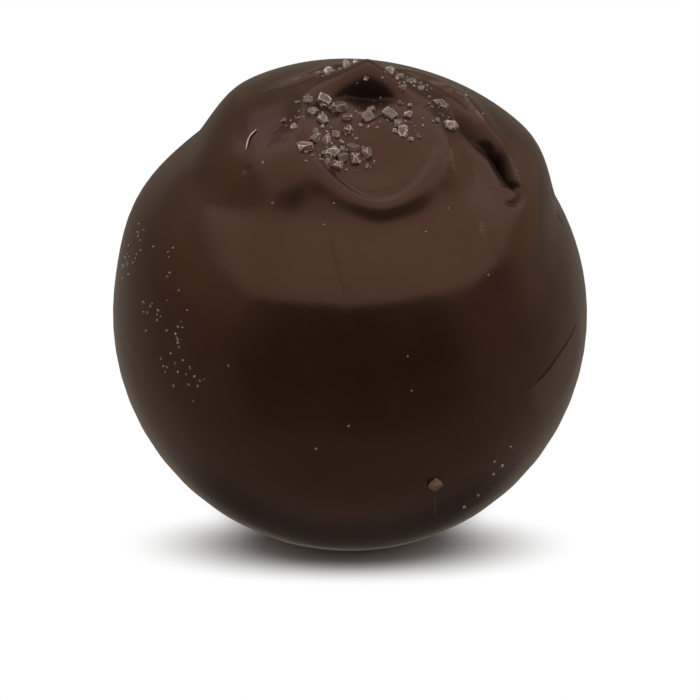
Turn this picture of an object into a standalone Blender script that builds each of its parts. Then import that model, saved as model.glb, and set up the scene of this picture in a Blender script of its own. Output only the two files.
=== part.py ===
"""A hand-dipped chocolate praline: a ball with a swirl laid over its top and coarse salt pressed into it.

Lengths in this file are millimetres and become metres when a mesh is made. +Z is up, -Y is the front,
and the origin is the middle of the small flat foot that the praline rests on.

A place on the ball is given by (u, v), the way a map centred on the top gives it: the distance from the
top along the ball, split into a share to the right (+X) and a share to the back (+Y).
"""
import bmesh
import bpy
import numpy as np
from mathutils import Euler, Vector

MM = 0.001

# The dipped ball and the foot it settled on
BALL_RADIUS = 15.0
CENTRE_HEIGHT = 13.0
FOOT_ROUNDING = 1.2
FOOT_CUT = 0.02

# The mesh: a fine sphere is shaped, then thinned where it is smooth
SPHERE_SUBDIVISIONS = 8
BODY_TRIANGLES = 8600

# The swirl stands over the ball in two steps, which meet at the back and take turns round it: the step of the
# rolled lip at the front and left, and a wide apron at the right and back.
# direction in degrees (0 is to the right), then distance from the top, width and height of each step's slope
SWIRL_HEIGHT = 1.2
SWIRL_LEVEL_REACH = 6.5
SWIRL_STEPS = [
    (-170, 8.8, 5.0, 1.02, 11.5, 5.0, 0.0), (-153, 8.3, 4.8, 1.1, 11.8, 5.0, 0.0),
    (-139, 8.05, 4.4, 1.32, 12, 5, 0.0),
    (-128, 7.85, 4.3, 1.42, 12, 5, 0.0), (-118, 7.7, 4.0, 1.34, 12, 5, 0.0),
    (-109, 7.5, 3.7, 1.1, 12, 5, 0.0),
    (-99, 7.6, 3.4, 0.72, 12, 5, 0.0), (-91, 7.8, 3.2, 0.5, 12, 5, 0.0), (-77, 8.1, 3.2, 0.48, 12, 5, 0.02),
    (-68, 8.2, 3.2, 0.56, 12.3, 5, 0.06), (-58, 8.4, 3.3, 0.7, 12.6, 5, 0.12),
    (-50, 8.45, 3.4, 0.78, 12.9, 5, 0.2),
    (-41, 8.3, 3.5, 0.8, 13.2, 5, 0.3), (-30, 8.0, 3.6, 0.68, 13.4, 4.8, 0.48),
    (-15, 8.2, 3.8, 0.32, 13.4, 4.6, 0.86),
    (5, 12.0, 4.2, 0.0, 13.9, 4.4, 1.15), (25, 14.0, 4.0, 0.0, 14.5, 4.2, 1.2),
    (40, 13.8, 4.4, 0.0, 13.9, 4.4, 1.15),
    (60, 13.2, 5.4, 0.0, 13.2, 5.4, 1.1), (90, 12.8, 6.2, 0.0, 12.8, 6.2, 1.15),
    (115, 12.2, 5.6, 0.0, 12.2, 5.6, 1.2),
    (135, 11.2, 4.6, 1.2, 11.2, 4.6, 0.0), (155, 9.9, 4.6, 1.15, 11.5, 4.6, 0.0),
    (172, 9.2, 4.6, 1.1, 11.5, 5.0, 0.0),
]

# direction, distance of the soft shoulder from the top, share of its full height
SHOULDER_HEIGHT = 0.30
SHOULDER_ROUNDING = 0.45
SHOULDER_FALL_ABOVE = 2.6
SHOULDER_FALL_BELOW = 3.4
SHOULDER_START = 7.5
SHOULDER_FADE = 3.5
SHOULDER = [
    (-150, 13.8, 0.0), (-140, 13.7, 0.05), (-131, 13.6, 0.35), (-121, 13.55, 0.85), (-108, 13.65, 1.0),
    (-84, 13.6, 1.0), (-66, 13.45, 1.0), (-42, 13.6, 0.9), (-24, 14.2, 0.55), (-10, 15.0, 0.15),
    (10, 15.5, 0.0),
    (90, 15.5, 0.0), (170, 14.5, 0.0),
]

# the rounded bulge at the left, below the swirl: direction, distance from the top, their spreads, height
LEFT_BULGE = (162, 16.8, 38.0, 2.6, 0.36)

# raised lines of the swirl: u, v, height, then how wide it falls off left and right of the way it runs
LIP = [
    (-4.6, -3.4, 0.0, 0.6, 0.9), (-3.76, -3.81, 0.05, 0.5, 0.9), (-2.54, -4.84, 0.12, 0.45, 0.8),
    (-1.34, -6.09, 0.2, 0.42, 0.75), (-0.14, -7.05, 0.24, 0.4, 0.75), (1.08, -7.6, 0.26, 0.4, 0.7),
    (2.08, -7.65, 0.26, 0.4, 0.7), (3.14, -7.2, 0.25, 0.4, 0.7), (4.03, -6.4, 0.25, 0.42, 0.8),
    (4.75, -5.25, 0.22, 0.45, 0.9), (5.25, -3.78, 0.2, 0.5, 0.9), (5.49, -2.53, 0.13, 0.6, 0.9),
    (5.38, -1.39, 0.0, 0.6, 1.0),
]
LEFT_LOBE = [
    (-5.7, 3.0, 0.0, 0.9, 0.5), (-6.03, 2.0, 0.06, 0.9, 0.5), (-6.07, 0.5, 0.09, 0.9, 0.45),
    (-5.71, -1.38, 0.10, 0.9, 0.45), (-5.23, -2.71, 0.07, 0.9, 0.5), (-4.6, -3.4, 0.0, 0.8, 0.5),
]
DISH_WALL = [
    (-1.9, 1.3, 0.0, 0.4, 0.8), (-2.28, 0.2, 0.26, 0.35, 0.8), (-2.5, -0.92, 0.32, 0.32, 0.8),
    (-2.6, -2.14, 0.26, 0.32, 0.7), (-2.7, -3.3, 0.14, 0.32, 0.6), (-2.9, -4.3, 0.0, 0.32, 0.6),
]
BACK_LEFT_CREST = [
    (-5.0, 2.3, 0.0, 0.5, 0.3), (-3.8, 2.4, 0.12, 0.6, 0.28), (-2.5, 2.5, 0.2, 0.7, 0.28),
    (-1.4, 3.0, 0.26, 0.8, 0.3), (-0.6, 3.5, 0.2, 0.9, 0.35), (0.3, 4.0, 0.0, 1.0, 0.4),
]
RIGHT_CREST = [
    (1.9, 4.0, 0.0, 1.2, 0.3), (3.1, 4.2, 0.16, 1.2, 0.3), (4.5, 3.7, 0.26, 1.2, 0.26),
    (5.7, 2.9, 0.28, 1.1, 0.25),
    (6.7, 2.4, 0.26, 1.0, 0.25), (7.4, 1.5, 0.2, 0.9, 0.25), (8.0, 0.4, 0.1, 0.8, 0.3),
    (8.8, -0.8, 0.0, 0.8, 0.4),
]
CRESTS = [LIP, LEFT_LOBE, DISH_WALL, BACK_LEFT_CREST, RIGHT_CREST]
GROOVE_OFFSET = 0.62
GROOVE_WIDTH = 0.2
GROOVE_SHARE = 0.25

# u, v, half width, half depth, how deep, share of the half width that is level, width of the slope round it
DISH = (1.45, -3.1, 3.9, 4.3, 0.35)
DISH_LEVEL = 0.4
DISH_SLOPE = 0.65
LEFT_PIT = (-1.2, -0.6, 0.85, 1.2, 0.35)

# The peak is an arch, open to the front over a hollow. Its wall is steepest at its foot.
# u, v of the foot, how high the arch stands, how far the hollow sinks, width of the wall; from left to right
ARCH = [
    (-1.8, -0.7, 0.0, 0.0, 0.6), (-1.25, -0.05, 0.25, 0.05, 0.7), (-0.65, 0.28, 0.55, 0.15, 0.9),
    (0.1, 0.4, 0.95, 0.3, 1.15), (0.9, 0.42, 1.4, 0.4, 1.3), (1.65, 0.4, 1.05, 0.3, 1.1),
    (2.3, 0.3, 0.6, 0.15, 0.85), (2.85, 0.0, 0.25, 0.05, 0.7), (3.2, -0.5, 0.0, 0.0, 0.6),
]
ARCH_FALL = 1.9
HOLLOW_REACH = 1.6
WALL_POWER = 2.5

# The fold: the flap at its right ends in a wall, which stands on the plate at its left.
# u, v of the foot, height of the wall, width of the wall, depth of the slot at its foot
FOLD = [
    (5.75, 1.9, 0.0, 1.6, 0.0), (6.1, 0.95, 0.25, 1.7, 0.0), (6.5, 0.2, 0.6, 1.8, 0.0),
    (7.05, -0.4, 0.82, 1.6, 0.0), (7.8, -0.8, 0.84, 1.35, 0.05), (8.6, -1.05, 0.76, 1.0, 0.35),
    (9.25, -1.5, 0.64, 0.65, 1.1), (9.8, -2.2, 0.5, 0.42, 1.4), (10.2, -2.85, 0.34, 0.34, 1.2),
    (10.45, -3.35, 0.14, 0.3, 0.3), (10.5, -3.7, 0.0, 0.3, 0.0),
]
FOOT_SOFTNESS = 0.14
FOLD_DIP = 0.8
SLOT_WIDTH = 0.17
FLAP_RISE = 0.08
FLAP_REACH = 0.8
FLAP_LEAN = 0.35
FLAP_LEAN_REACH = 0.9
# the plate between the lip and the fold lies a little low: u, v, half width, half depth, how deep
PLATE = (8.0, -3.2, 2.1, 2.2, 0.42)

# Salt, largest grains first: u, v, spread, number of grains, smallest and largest size
SALT_PATCHES = [
    (-1.48, -0.06, 0.0, 1, 0.95, 0.95), (-0.67, -0.72, 0.0, 1, 0.95, 0.95), (5.70, -1.15, 0.0, 1, 1.0, 1.0),
    (-2.44, -4.27, 0.0, 1, 1.0, 1.0), (2.26, -1.11, 0.0, 1, 0.9, 0.9), (0.97, -1.36, 0.0, 1, 0.85, 0.85),
    (0.14, -3.75, 0.0, 1, 0.85, 0.85), (1.01, -4.08, 0.0, 1, 0.85, 0.85), (3.05, -2.42, 0.0, 1, 0.8, 0.8),
    (-0.10, -1.75, 0.0, 1, 0.75, 0.75), (-0.19, 2.64, 0.0, 1, 0.75, 0.75), (-1.25, 2.32, 0.0, 1, 0.75, 0.75),
    (3.55, 2.03, 0.0, 1, 0.75, 0.75), (5.25, 0.83, 0.0, 1, 0.7, 0.7), (-1.9, -3.6, 0.0, 1, 0.75, 0.75),
    (-0.9, -4.35, 0.55, 5, 0.6, 0.85), (-0.4, -2.75, 0.5, 3, 0.5, 0.75), (0.1, -4.3, 0.4, 3, 0.5, 0.7),
    (-2.2, -0.9, 0.45, 3, 0.5, 0.65), (-1.6, -2.4, 0.5, 2, 0.45, 0.6), (2.4, 1.5, 0.6, 3, 0.5, 0.65),
    (3.1, -0.7, 0.5, 4, 0.45, 0.65), (2.8, -2.0, 0.5, 2, 0.45, 0.6), (3.6, -2.8, 0.3, 2, 0.4, 0.45),
    (-3.4, -2.1, 0.6, 2, 0.4, 0.55), (5.2, -0.4, 0.5, 2, 0.4, 0.5), (0.9, -4.8, 0.3, 1, 0.4, 0.45),
]
SALT_SEED = 7
SALT_SUNK = 0.18
SALT_CORNER_CUT = (0.15, 0.45)
SALT_CUT_CORNERS = 3
SALT_SHAPE = (0.7, 1.0)
SALT_STRAY = 1.2

CHOCOLATE_COLOUR = (0.046, 0.025, 0.016, 1.0)
CHOCOLATE_ROUGHNESS = 0.3
SALT_COLOUR = (0.52, 0.44, 0.40, 1.0)
SALT_ROUGHNESS = 0.35
SHARP_ANGLE = 35.0


def clear_scene():
    """Remove every object that is in the scene."""
    for thing in list(bpy.data.objects):
        bpy.data.objects.remove(thing, do_unlink=True)


def material(name, colour, roughness):
    """A plain Principled material."""
    made = bpy.data.materials.new(name)
    made.use_nodes = True
    shader = made.node_tree.nodes["Principled BSDF"]
    shader.inputs["Base Color"].default_value = colour
    shader.inputs["Roughness"].default_value = roughness
    shader.inputs["Metallic"].default_value = 0.0
    return made


def smooth_step(x):
    """0 below 0 and 1 above 1, with the S-curve 3x^2 - 2x^3 between."""
    x = np.clip(x, 0.0, 1.0)
    return x * x * (3.0 - 2.0 * x)


def spline(points, steps=10):
    """A Catmull-Rom curve through the points, with every column carried along it."""
    p = np.asarray(points, float)
    p = np.vstack([2 * p[0] - p[1], p, 2 * p[-1] - p[-2]])
    s = np.linspace(0.0, 1.0, steps, endpoint=False)[:, None]
    runs = []
    for a, b, c, d in zip(p[:-3], p[1:-2], p[2:-1], p[3:]):
        bend = (2 * a - 5 * b + 4 * c - d) * s**2 + (3 * b - a - 3 * c + d) * s**3
        runs.append(0.5 * (2 * b + (c - a) * s + bend))
    return np.vstack(runs + [p[-2:-1]])


def nearest(u, v, points):
    """For every (u, v): the distance to the curve, positive on its left, the values carried there,
    and the direction that points to its left."""
    curve = spline(points)
    places = np.column_stack([u, v])
    closest = np.full(len(places), np.inf)
    distance = np.zeros(len(places))
    carried = np.zeros((len(places), curve.shape[1] - 2))
    leftward = np.zeros((len(places), 2))
    for start, end in zip(curve[:-1], curve[1:]):
        run = end[:2] - start[:2]
        share = np.clip((places - start[:2]) @ run / (run @ run), 0.0, 1.0)
        off = places - start[:2] - share[:, None] * run
        gap = np.hypot(off[:, 0], off[:, 1])
        nearer = gap < closest
        closest[nearer] = gap[nearer]
        side = np.sign(run[0] * off[nearer, 1] - run[1] * off[nearer, 0])
        distance[nearer] = side * gap[nearer]
        carried[nearer] = start[2:] + share[nearer, None] * (end[2:] - start[2:])
        leftward[nearer] = np.array([-run[1], run[0]]) / np.hypot(*run)
    return distance, carried, leftward


def around(direction, rows, column):
    """A value that changes smoothly with the direction round the top: cubic Hermite between the rows."""
    rows = np.array(sorted(rows))
    x = np.concatenate([rows[:, 0] - 360, rows[:, 0], rows[:, 0] + 360])
    y = np.tile(rows[:, column], 3)
    slope = np.gradient(y, x)
    i = np.clip(np.searchsorted(x, direction, side="right") - 1, 0, len(x) - 2)
    width = x[i + 1] - x[i]
    s = (direction - x[i]) / width
    start = (1 + 2 * s) * (1 - s) ** 2 * y[i] + s * (1 - s) ** 2 * width * slope[i]
    return start + s * s * (3 - 2 * s) * y[i + 1] + s * s * (s - 1) * width * slope[i + 1]


def swirl_mound(reach, direction):
    """The swirl's plateau: an S-curve down to the ball at each of its two steps. Where the two together are
    lower than the plateau, a gentle slope down from the top makes up the difference."""
    low = 1.0
    rise = 0.0
    for first in (1, 4):
        edge, slope, tall = (around(direction, SWIRL_STEPS, first + column) for column in range(3))
        rise = rise + tall * (1.0 - smooth_step((reach - edge) / slope + 0.5))
        low = low - tall / SWIRL_HEIGHT
    return rise + SWIRL_HEIGHT * low * (1.0 - smooth_step(reach / SWIRL_LEVEL_REACH))


def shoulder(reach, direction):
    """The rounded crease round the front: a tent with a soft top, exponential on both sides."""
    across = reach - around(direction, SHOULDER, 1)
    amount = np.clip(around(direction, SHOULDER, 2), 0.0, 1.0)
    fall = np.where(across < 0, SHOULDER_FALL_ABOVE, SHOULDER_FALL_BELOW)
    tent = np.exp(-(np.hypot(across, SHOULDER_ROUNDING) - SHOULDER_ROUNDING) / fall)
    return SHOULDER_HEIGHT * amount * tent * smooth_step((reach - SHOULDER_START) / SHOULDER_FADE)


def left_bulge(reach, direction):
    """The soft bulge at the left: a bell over the distance and over the direction."""
    middle, distance, spread, width, tall = LEFT_BULGE
    turn = (direction - middle + 180.0) % 360.0 - 180.0
    return tall * np.exp(-(turn / spread) ** 2 - ((reach - distance) / width) ** 2)


def crest(u, v, line):
    """A raised line: a bell across it, with its own width on each side."""
    distance, carried, _ = nearest(u, v, line)
    tall, left, right = carried.T
    return tall * np.exp(-(distance / np.where(distance > 0, left, right)) ** 2)


def groove(u, v):
    """The narrow groove that follows the lip on its inside: a bell across it."""
    distance, carried, _ = nearest(u, v, LIP)
    return GROOVE_SHARE * carried[:, 0] * np.exp(-((distance - GROOVE_OFFSET) / GROOVE_WIDTH) ** 2)


def dish(u, v):
    """The shallow dish inside the lip: level in the middle, with an S-curve at its rim."""
    middle_u, middle_v, half_u, half_v, deep = DISH
    out = np.hypot((u - middle_u) / half_u, (v - middle_v) / half_v)
    return deep * (1.0 - smooth_step((out - DISH_LEVEL) / DISH_SLOPE))


def wall_profile(share):
    """A wall that is steepest at its foot and rounded at its top: 1 - (1 - x)^p."""
    return 1.0 - (1.0 - np.clip(share, 0.0, 1.0)) ** WALL_POWER


def arch(u, v):
    """The pulled-up peak: a steep wall along the arch, a long bell behind it and a hollow before it."""
    distance, carried, _ = nearest(u, v, ARCH)
    tall, deep, width = carried.T
    behind = np.exp(-(np.maximum(distance - width, 0.0) / ARCH_FALL) ** 2)
    before = np.exp(-(np.minimum(distance, 0.0) / HOLLOW_REACH) ** 2)
    return ((tall + deep) * wall_profile(distance / width) - deep) * behind * before


def fold(u, v):
    """The fold: the surface dips to the slot, and the flap's wall rises from it and stands proud. The corner
    at the wall's foot is softened by taking (d + sqrt(d^2 + s^2)) / 2 for the distance."""
    distance, carried, _ = nearest(u, v, FOLD)
    tall, width, deep = carried.T
    wall = wall_profile(0.5 * (distance + np.hypot(distance, FOOT_SOFTNESS)) / width)
    dip = tall * (1.0 - wall) * np.exp(-(np.minimum(distance, 0.0) / FOLD_DIP) ** 2)
    slot = deep * np.exp(-(distance / SLOT_WIDTH) ** 2)
    flap = FLAP_RISE * tall * wall * np.exp(-((distance - width) / FLAP_REACH) ** 2)
    return flap - dip - slot


def bell(u, v, place):
    """A smooth bump: its value in the middle, falling off as a bell both ways."""
    middle_u, middle_v, half_u, half_v, tall = place
    return tall * np.exp(-((u - middle_u) / half_u) ** 2 - ((v - middle_v) / half_v) ** 2)


def flap_lean(u, v):
    """How far a place moves towards the slot, so that the flap's edge leans over it."""
    distance, carried, leftward = nearest(u, v, FOLD)
    wall = wall_profile(distance / carried[:, 1])
    fade = np.exp(-(np.maximum(distance - carried[:, 1], 0.0) / FLAP_LEAN_REACH) ** 2)
    return -leftward * (FLAP_LEAN * carried[:, 2] * wall * fade)[:, None]


def height(u, v):
    """Height of the chocolate over the ball, the sum of the forms above."""
    reach = np.hypot(u, v)
    direction = np.degrees(np.arctan2(v, u))
    rise = swirl_mound(reach, direction) + shoulder(reach, direction) + left_bulge(reach, direction)
    rise += arch(u, v) + fold(u, v)
    for line in CRESTS:
        rise += crest(u, v, line)
    return rise - dish(u, v) - groove(u, v) - bell(u, v, LEFT_PIT) - bell(u, v, PLATE)


def surface(u, v):
    """Points on the praline: out from the ball's middle by the radius and the height, with what would hang
    below the foot laid flat on it and a rounded turn between."""
    rise = height(u, v)
    u, v = (np.column_stack([u, v]) + flap_lean(u, v)).T
    down = np.hypot(u, v) / BALL_RADIUS
    direction = np.arctan2(v, u)
    level = np.column_stack([np.cos(direction), np.sin(direction)]) * np.sin(down)[:, None]
    outward = np.column_stack([level, np.cos(down)])
    points = outward * (BALL_RADIUS + rise)[:, None]
    above = points[:, 2] + CENTRE_HEIGHT
    turn = np.maximum(FOOT_ROUNDING - np.abs(above), 0.0)
    points[:, 2] = np.maximum(above, 0.0) + turn**2 / (4.0 * FOOT_ROUNDING)
    return points


def evaluated_mesh(thing):
    """The object's mesh with its modifiers worked out."""
    graph = bpy.context.evaluated_depsgraph_get()
    return bpy.data.meshes.new_from_object(thing.evaluated_get(graph))


def chocolate_body(collection):
    """A sphere shaped by the surface function, thinned where it is smooth, and cut flat at the foot."""
    mesh = bpy.data.meshes.new("praline")
    shape = bmesh.new()
    bmesh.ops.create_icosphere(shape, subdivisions=SPHERE_SUBDIVISIONS, radius=1.0)
    shape.to_mesh(mesh)
    shape.free()
    points = np.empty(3 * len(mesh.vertices))
    mesh.vertices.foreach_get("co", points)
    x, y, z = points.reshape(-1, 3).T
    reach = BALL_RADIUS * np.arctan2(np.hypot(x, y), z)
    direction = np.arctan2(y, x)
    places = surface(reach * np.cos(direction), reach * np.sin(direction))
    mesh.vertices.foreach_set("co", (places * MM).ravel())
    mesh.update()

    body = bpy.data.objects.new("praline", mesh)
    collection.objects.link(body)
    thinned = body.modifiers.new("thinned", "DECIMATE")
    thinned.ratio = BODY_TRIANGLES / len(mesh.polygons)
    body.data = evaluated_mesh(body)
    body.modifiers.clear()

    shape = bmesh.new()
    shape.from_mesh(body.data)
    everything = list(shape.verts) + list(shape.edges) + list(shape.faces)
    bmesh.ops.bisect_plane(shape, geom=everything, plane_co=(0.0, 0.0, FOOT_CUT * MM),
                           plane_no=(0.0, 0.0, 1.0), clear_inner=True)
    bmesh.ops.holes_fill(shape, edges=[edge for edge in shape.edges if edge.is_boundary])
    bmesh.ops.translate(shape, vec=(0.0, 0.0, -FOOT_CUT * MM), verts=list(shape.verts))
    bmesh.ops.recalc_face_normals(shape, faces=list(shape.faces))
    shape.to_mesh(body.data)
    shape.free()
    body.data.materials.append(material("milk chocolate", CHOCOLATE_COLOUR, CHOCOLATE_ROUGHNESS))
    return body


def salt_grain(name, size, centre, draw, finish, collection):
    """One crystal: a box with a few corners cut off, turned at random: the hull of its corner points."""
    half = 0.5 * size * draw.uniform(*SALT_SHAPE, size=3)
    corners = [Vector((i, j, k)) for i in (-1, 1) for j in (-1, 1) for k in (-1, 1)]
    cut = set(draw.choice(len(corners), SALT_CUT_CORNERS, replace=False).tolist())
    turn = Euler(draw.uniform(0.0, 2.0 * np.pi, size=3).tolist()).to_matrix()
    shape = bmesh.new()
    for number, corner in enumerate(corners):
        ends = [corner]
        if number in cut:
            back = 1.0 - 2.0 * draw.uniform(*SALT_CORNER_CUT)
            ends = [Vector([value * back if axis == other else value for other, value in enumerate(corner)])
                    for axis in range(3)]
        for end in ends:
            place = turn @ Vector([value * reach for value, reach in zip(end, half)])
            shape.verts.new((place + Vector(centre)) * MM)
    hull = bmesh.ops.convex_hull(shape, input=list(shape.verts))
    bmesh.ops.delete(shape, geom=list(set(hull["geom_interior"] + hull["geom_unused"])), context="VERTS")
    bmesh.ops.recalc_face_normals(shape, faces=list(shape.faces))
    mesh = bpy.data.meshes.new(name)
    shape.to_mesh(mesh)
    shape.free()
    mesh.materials.append(finish)
    collection.objects.link(bpy.data.objects.new(name, mesh))


def salt_grains(collection):
    """Grains scattered over their patches, each set on the chocolate and sunk into it a little."""
    draw = np.random.default_rng(SALT_SEED)
    finish = material("salt", SALT_COLOUR, SALT_ROUGHNESS)
    number = 0
    for middle_u, middle_v, spread, grains, smallest, largest in SALT_PATCHES:
        for size in draw.uniform(smallest, largest, size=grains):
            stray = np.clip(draw.normal(size=2), -SALT_STRAY, SALT_STRAY)
            u, v = np.array([middle_u, middle_v]) + spread * stray
            ground = surface(np.array([u]), np.array([v]))[0]
            outward = ground - np.array([0.0, 0.0, CENTRE_HEIGHT])
            outward /= np.linalg.norm(outward)
            number += 1
            salt_grain(f"grain_{number}", size, ground + outward * SALT_SUNK * size, draw, finish, collection)


def press_in(body, salt):
    """Join the body and its salt into one solid, and drop any scrap that is not joined to it."""
    union = body.modifiers.new("salt", "BOOLEAN")
    union.operation = "UNION"
    union.solver = "EXACT"
    union.operand_type = "COLLECTION"
    union.collection = salt
    joined = evaluated_mesh(body)
    body.modifiers.clear()
    body.data = joined
    for grain in list(salt.objects):
        bpy.data.objects.remove(grain, do_unlink=True)
    bpy.data.collections.remove(salt)

    shape = bmesh.new()
    shape.from_mesh(joined)
    bmesh.ops.triangulate(shape, faces=list(shape.faces))
    found = set()
    start = min(shape.verts, key=lambda corner: corner.co.z)
    edge_of_search = [start]
    while edge_of_search:
        corner = edge_of_search.pop()
        if corner in found:
            continue
        found.add(corner)
        edge_of_search.extend(edge.other_vert(corner) for edge in corner.link_edges)
    bmesh.ops.delete(shape, geom=[corner for corner in shape.verts if corner not in found], context="VERTS")
    shape.to_mesh(joined)
    shape.free()


clear_scene()
praline_parts = bpy.data.collections.new("chocolate praline")
salt_parts = bpy.data.collections.new("salt")
bpy.context.scene.collection.children.link(praline_parts)
bpy.context.scene.collection.children.link(salt_parts)
praline = chocolate_body(praline_parts)
salt_grains(salt_parts)
press_in(praline, salt_parts)
praline.data.shade_smooth()
praline.data.set_sharp_from_angle(angle=np.radians(SHARP_ANGLE))
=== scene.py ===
"""The looks of a hand-dipped chocolate praline: satin milk chocolate, a swirled top and coarse salt."""
import bpy
import numpy as np
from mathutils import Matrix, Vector


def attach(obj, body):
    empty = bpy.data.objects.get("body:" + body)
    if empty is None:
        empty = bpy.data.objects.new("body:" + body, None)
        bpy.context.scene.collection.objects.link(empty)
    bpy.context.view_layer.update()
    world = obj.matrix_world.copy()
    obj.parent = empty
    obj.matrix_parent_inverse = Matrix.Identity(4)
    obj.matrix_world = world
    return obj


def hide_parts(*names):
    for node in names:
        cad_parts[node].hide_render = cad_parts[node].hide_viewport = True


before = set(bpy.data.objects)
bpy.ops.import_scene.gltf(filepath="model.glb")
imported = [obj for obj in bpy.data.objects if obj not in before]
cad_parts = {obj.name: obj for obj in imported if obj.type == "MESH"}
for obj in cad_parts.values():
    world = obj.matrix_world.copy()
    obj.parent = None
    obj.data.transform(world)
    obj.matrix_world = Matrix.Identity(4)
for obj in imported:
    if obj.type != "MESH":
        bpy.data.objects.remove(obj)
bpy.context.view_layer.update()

# The dipped ball with the swirl on its top. It was rolled by hand, dipped in milk chocolate, and a last
# spoonful was turned over the top, which left a lip, a peak at the back and a fold at the right.

# Lengths are millimetres until a mesh is made. (u, v) is a place on a map centred on the top: the distance
# from the top along the ball, split into a share to the right and a share to the back.
MM = 0.001
BALL_RADIUS = 15.0
CENTRE_HEIGHT = 13.0
FOOT_ROUNDING = 1.2

# The swirl stands over the ball in two steps, which meet at the back and take turns round it: the rolled
# lip's step at the front and left, and a wide apron at the right and back.
# Direction in degrees, where 0 is to the right. Then distance from the top, width and height of the slope
# of the first step, and the same of the second.
SWIRL_HEIGHT = 1.2
SWIRL_LEVEL_REACH = 6.5
SWIRL_STEPS = [
    (-170, 8.8, 5.0, 1.02, 11.5, 5.0, 0.0), (-153, 8.3, 4.8, 1.1, 11.8, 5.0, 0.0),
    (-139, 8.05, 4.4, 1.32, 12, 5, 0.0), (-128, 7.85, 4.3, 1.42, 12, 5, 0.0),
    (-118, 7.7, 4.0, 1.34, 12, 5, 0.0), (-109, 7.5, 3.7, 1.1, 12, 5, 0.0),
    (-99, 7.6, 3.4, 0.72, 12, 5, 0.0), (-91, 7.8, 3.2, 0.5, 12, 5, 0.0),
    (-77, 8.1, 3.2, 0.48, 12, 5, 0.02), (-68, 8.2, 3.2, 0.56, 12.3, 5, 0.06),
    (-58, 8.4, 3.3, 0.7, 12.6, 5, 0.12), (-50, 8.45, 3.4, 0.78, 12.9, 5, 0.2),
    (-41, 8.3, 3.5, 0.8, 13.2, 5, 0.3), (-30, 8.0, 3.6, 0.68, 13.4, 4.8, 0.48),
    (-15, 8.2, 3.8, 0.32, 13.4, 4.6, 0.86), (5, 12.0, 4.2, 0.0, 13.9, 4.4, 1.15),
    (25, 14.0, 4.0, 0.0, 14.5, 4.2, 1.2), (40, 13.8, 4.4, 0.0, 13.9, 4.4, 1.15),
    (60, 13.2, 5.4, 0.0, 13.2, 5.4, 1.1), (90, 12.8, 6.2, 0.0, 12.8, 6.2, 1.15),
    (115, 12.2, 5.6, 0.0, 12.2, 5.6, 1.2), (135, 11.2, 4.6, 1.2, 11.2, 4.6, 0.0),
    (155, 9.9, 4.6, 1.15, 11.5, 4.6, 0.0), (172, 9.2, 4.6, 1.1, 11.5, 5.0, 0.0),
]

# direction, distance of the soft shoulder from the top, share of its full height
SHOULDER_HEIGHT = 0.30
SHOULDER_ROUNDING = 0.45
SHOULDER_FALL_ABOVE = 2.6
SHOULDER_FALL_BELOW = 3.4
SHOULDER_START = 7.5
SHOULDER_FADE = 3.5
SHOULDER = [
    (-150, 13.8, 0.0), (-140, 13.7, 0.05), (-131, 13.6, 0.35), (-121, 13.55, 0.85), (-108, 13.65, 1.0),
    (-84, 13.6, 1.0), (-66, 13.45, 1.0), (-42, 13.6, 0.9), (-24, 14.2, 0.55), (-10, 15.0, 0.15),
    (10, 15.5, 0.0), (90, 15.5, 0.0), (170, 14.5, 0.0),
]

# the ball's rounded bulge at the left, below the swirl: direction, distance from the top, spread of the
# direction, spread of the distance, height
LEFT_BULGE = (162, 16.8, 38.0, 2.6, 0.36)

# raised lines of the swirl: u, v, height, then how wide it falls off left and right of the way it runs
LIP = [
    (-4.6, -3.4, 0.0, 0.6, 0.9), (-3.76, -3.81, 0.05, 0.5, 0.9), (-2.54, -4.84, 0.12, 0.45, 0.8),
    (-1.34, -6.09, 0.2, 0.42, 0.75), (-0.14, -7.05, 0.24, 0.4, 0.75), (1.08, -7.6, 0.26, 0.4, 0.7),
    (2.08, -7.65, 0.26, 0.4, 0.7), (3.14, -7.2, 0.25, 0.4, 0.7), (4.03, -6.4, 0.25, 0.42, 0.8),
    (4.75, -5.25, 0.22, 0.45, 0.9), (5.25, -3.78, 0.2, 0.5, 0.9), (5.49, -2.53, 0.13, 0.6, 0.9),
    (5.38, -1.39, 0.0, 0.6, 1.0),
]
LEFT_LOBE = [
    (-5.7, 3.0, 0.0, 0.9, 0.5), (-6.03, 2.0, 0.06, 0.9, 0.5), (-6.07, 0.5, 0.09, 0.9, 0.45),
    (-5.71, -1.38, 0.10, 0.9, 0.45), (-5.23, -2.71, 0.07, 0.9, 0.5), (-4.6, -3.4, 0.0, 0.8, 0.5),
]
DISH_WALL = [
    (-1.9, 1.3, 0.0, 0.4, 0.8), (-2.28, 0.2, 0.26, 0.35, 0.8), (-2.5, -0.92, 0.32, 0.32, 0.8),
    (-2.6, -2.14, 0.26, 0.32, 0.7), (-2.7, -3.3, 0.14, 0.32, 0.6), (-2.9, -4.3, 0.0, 0.32, 0.6),
]
BACK_LEFT_CREST = [
    (-5.0, 2.3, 0.0, 0.5, 0.3), (-3.8, 2.4, 0.12, 0.6, 0.28), (-2.5, 2.5, 0.2, 0.7, 0.28),
    (-1.4, 3.0, 0.26, 0.8, 0.3), (-0.6, 3.5, 0.2, 0.9, 0.35), (0.3, 4.0, 0.0, 1.0, 0.4),
]
RIGHT_CREST = [
    (1.9, 4.0, 0.0, 1.2, 0.3), (3.1, 4.2, 0.16, 1.2, 0.3), (4.5, 3.7, 0.26, 1.2, 0.26),
    (5.7, 2.9, 0.28, 1.1, 0.25), (6.7, 2.4, 0.26, 1.0, 0.25), (7.4, 1.5, 0.2, 0.9, 0.25),
    (8.0, 0.4, 0.1, 0.8, 0.3), (8.8, -0.8, 0.0, 0.8, 0.4),
]
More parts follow.
